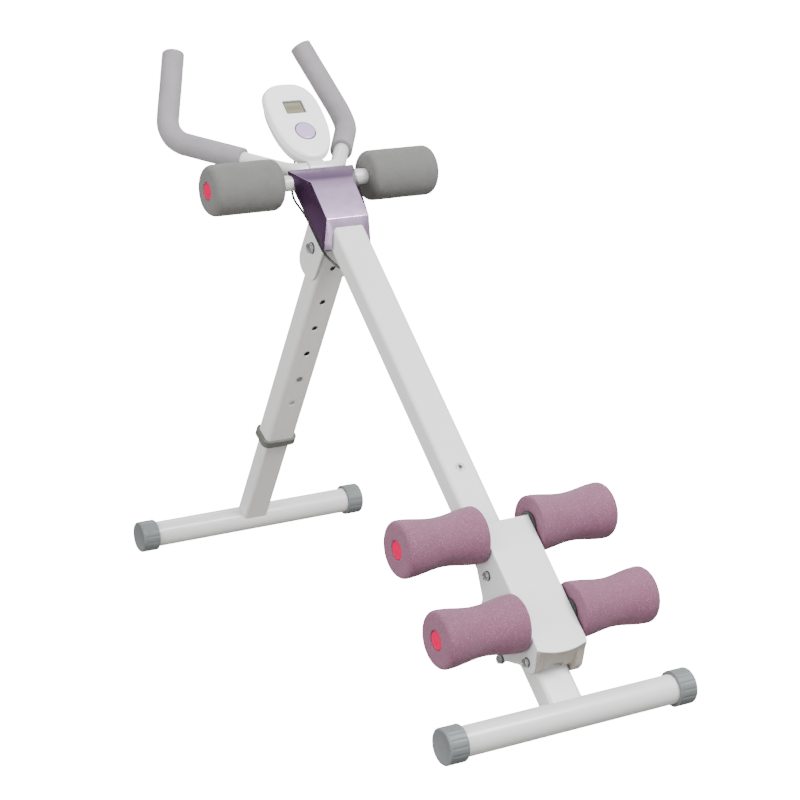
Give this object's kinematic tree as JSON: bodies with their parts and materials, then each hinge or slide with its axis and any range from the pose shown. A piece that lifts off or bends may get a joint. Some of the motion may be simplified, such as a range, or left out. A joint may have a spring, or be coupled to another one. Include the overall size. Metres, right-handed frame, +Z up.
{
  "type": "ab crunch machine",
  "caption": "Folding kneeling crunch trainer: a foam-roller carriage rolls up an inclined beam below padded elbow rests, handlebars and a rep-counting console.",
  "frame": {"origin": "on the floor, at the middle of the bounding box seen from above", "axes": "+Z up; +X across the machine, to the right of a user who kneels on it; +Y from the low front foot towards the high rear end with the handles"},
  "size_m": [0.48, 1.167, 0.9586],
  "materials": {
    "frame_paint": "white powder coat, semi-gloss",
    "chrome_tube": "bright",
    "fastener": "zinc plated",
    "cap_plastic": "moulded, fine texture",
    "collar_plastic": "satin",
    "rubber": "matte",
    "cable": "satin",
    "black_plastic": "matte",
    "cover_lavender": "metallic lavender",
    "elbow_foam": "closed-cell foam, matte",
    "carriage_foam": "closed-cell foam, fine specks",
    "grip_foam": "closed-cell foam, matte",
    "pink_plastic": "gloss",
    "console_white": "satin",
    "lcd_glass": "clear with a dark border",
    "lcd_panel": "olive-grey",
    "pcb": "solder mask",
    "button_lavender": "satin",
    "ring_dark": "satin",
    "cover_white": "white powder coat, semi-gloss",
    "guide_plastic": "beige-grey",
    "wheel_plastic": "off-white nylon"
  },
  "bodies": {
    "frame": {"front_foot_tube": "frame_paint", "front_foot_caps": "cap_plastic", "main_beam": "frame_paint", "wheel_stops": "rubber", "stop_screws": "fastener", "sensor_eyelet": "fastener", "reed_sensor": "black_plastic", "sensor_cable": "cable", "cable_grommet": "rubber", "elbow_tube": "chrome_tube", "elbow_plugs": "pink_plastic", "pivot_bracket": "frame_paint", "pivot_bolt": "fastener", "pivot_nut": "fastener", "pivot_washers": "fastener", "head_cover": "cover_lavender", "handlebar": "frame_paint", "bar_saddle": "frame_paint", "grip_left": "grip_foam", "grip_right": "grip_foam", "handle_plugs": "cap_plastic", "console_bracket": "frame_paint", "bracket_screws": "fastener", "console_back": "console_white", "console_front": "console_white", "lcd_window": "lcd_glass", "lcd_module": "lcd_panel", "circuit_board": "pcb", "battery_cell": "fastener", "battery_door": "console_white", "button_ring": "ring_dark"},
    "button": {"console_button": "button_lavender"},
    "elbow_left": {"elbow_roller_left": "elbow_foam"},
    "elbow_right": {"elbow_roller_right": "elbow_foam"},
    "outer_leg": {"outer_leg_tube": "frame_paint", "leg_collar": "collar_plastic", "pivot_bush": "fastener"},
    "inner_leg": {"inner_leg_tube": "frame_paint", "rear_foot_tube": "frame_paint", "rear_foot_caps": "cap_plastic"},
    "pin": {"height_pin": "fastener", "height_knob": "collar_plastic"},
    "carriage": {"carriage_cover": "cover_white", "upper_roller_tube": "chrome_tube", "lower_roller_tube": "chrome_tube", "roller_spacers": "black_plastic", "roller_plugs": "pink_plastic", "axle_bolts": "fastener", "axle_nuts": "fastener", "guide_block_lower": "guide_plastic", "guide_block_upper": "guide_plastic", "sensor_magnet": "fastener"},
    "wheel_top_lower": {"top_wheel_lower": "wheel_plastic"},
    "wheel_top_upper": {"top_wheel_upper": "wheel_plastic"},
    "wheel_under_lower": {"under_wheel_lower": "wheel_plastic"},
    "wheel_under_upper": {"under_wheel_upper": "wheel_plastic"},
    "foam_upper_left": {"foam_roller_upper_left": "carriage_foam"},
    "foam_upper_right": {"foam_roller_upper_right": "carriage_foam"},
    "foam_lower_left": {"foam_roller_lower_left": "carriage_foam"},
    "foam_lower_right": {"foam_roller_lower_right": "carriage_foam"}
  },
  "joints": [
    {"name": "carriage_slide", "type": "slide", "parent": "frame", "child": "carriage", "axis": [0, 0.7373, 0.6756], "range_m": [0, 0.44]},
    {"name": "top_wheel_lower_spin", "type": "hinge", "parent": "carriage", "child": "wheel_top_lower", "pos_m": [0, -0.50715, 0.10888], "axis": [1, 0, 0], "continuous": true},
    {"name": "top_wheel_upper_spin", "type": "hinge", "parent": "carriage", "child": "wheel_top_upper", "pos_m": [0, -0.39213, 0.21428], "axis": [1, 0, 0], "continuous": true},
    {"name": "under_wheel_lower_spin", "type": "hinge", "parent": "carriage", "child": "wheel_under_lower", "pos_m": [0, -0.43374, 0.08799], "axis": [1, 0, 0], "continuous": true},
    {"name": "under_wheel_upper_spin", "type": "hinge", "parent": "carriage", "child": "wheel_under_upper", "pos_m": [0, -0.37771, 0.13933], "axis": [1, 0, 0], "continuous": true},
    {"name": "foam_upper_left_spin", "type": "hinge", "parent": "carriage", "child": "foam_upper_left", "pos_m": [-0.125, -0.36261, 0.27457], "axis": [1, 0, 0], "continuous": true},
    {"name": "foam_upper_right_spin", "type": "hinge", "parent": "carriage", "child": "foam_upper_right", "pos_m": [0.125, -0.36261, 0.27457], "axis": [1, 0, 0], "continuous": true},
    {"name": "foam_lower_left_spin", "type": "hinge", "parent": "carriage", "child": "foam_lower_left", "pos_m": [-0.125, -0.48094, 0.16613], "axis": [1, 0, 0], "continuous": true},
    {"name": "foam_lower_right_spin", "type": "hinge", "parent": "carriage", "child": "foam_lower_right", "pos_m": [0.125, -0.48094, 0.16613], "axis": [1, 0, 0], "continuous": true},
    {"name": "elbow_left_spin", "type": "hinge", "parent": "frame", "child": "elbow_left", "pos_m": [-0.155, 0.23808, 0.74768], "axis": [1, 0, 0], "continuous": true},
    {"name": "elbow_right_spin", "type": "hinge", "parent": "frame", "child": "elbow_right", "pos_m": [0.155, 0.23808, 0.74768], "axis": [1, 0, 0], "continuous": true},
    {"name": "leg_fold", "type": "hinge", "parent": "frame", "child": "outer_leg", "pos_m": [0, 0.213, 0.6338], "axis": [-1, 0, 0], "range_deg": [0, 72]},
    {"name": "leg_extension", "type": "slide", "parent": "outer_leg", "child": "inner_leg", "axis": [0, 0.5055, -0.8628], "range_m": [0, 0.063]},
    {"name": "height_pin_pull", "type": "slide", "parent": "outer_leg", "child": "pin", "axis": [0, 0.8628, 0.5055], "range_m": [0, 0.075]},
    {"name": "button_press", "type": "slide", "parent": "frame", "child": "button", "axis": [0, 0.6756, -0.7373], "range_m": [0, 0.0015], "stiffness_N_per_m": 600}
  ],
  "couplings": [
    {"joint": "top_wheel_lower_spin", "follows": "carriage_slide", "rad_per_m": -80},
    {"joint": "top_wheel_upper_spin", "follows": "carriage_slide", "rad_per_m": -80},
    {"joint": "under_wheel_lower_spin", "follows": "carriage_slide", "rad_per_m": 80},
    {"joint": "under_wheel_upper_spin", "follows": "carriage_slide", "rad_per_m": 80}
  ]
}
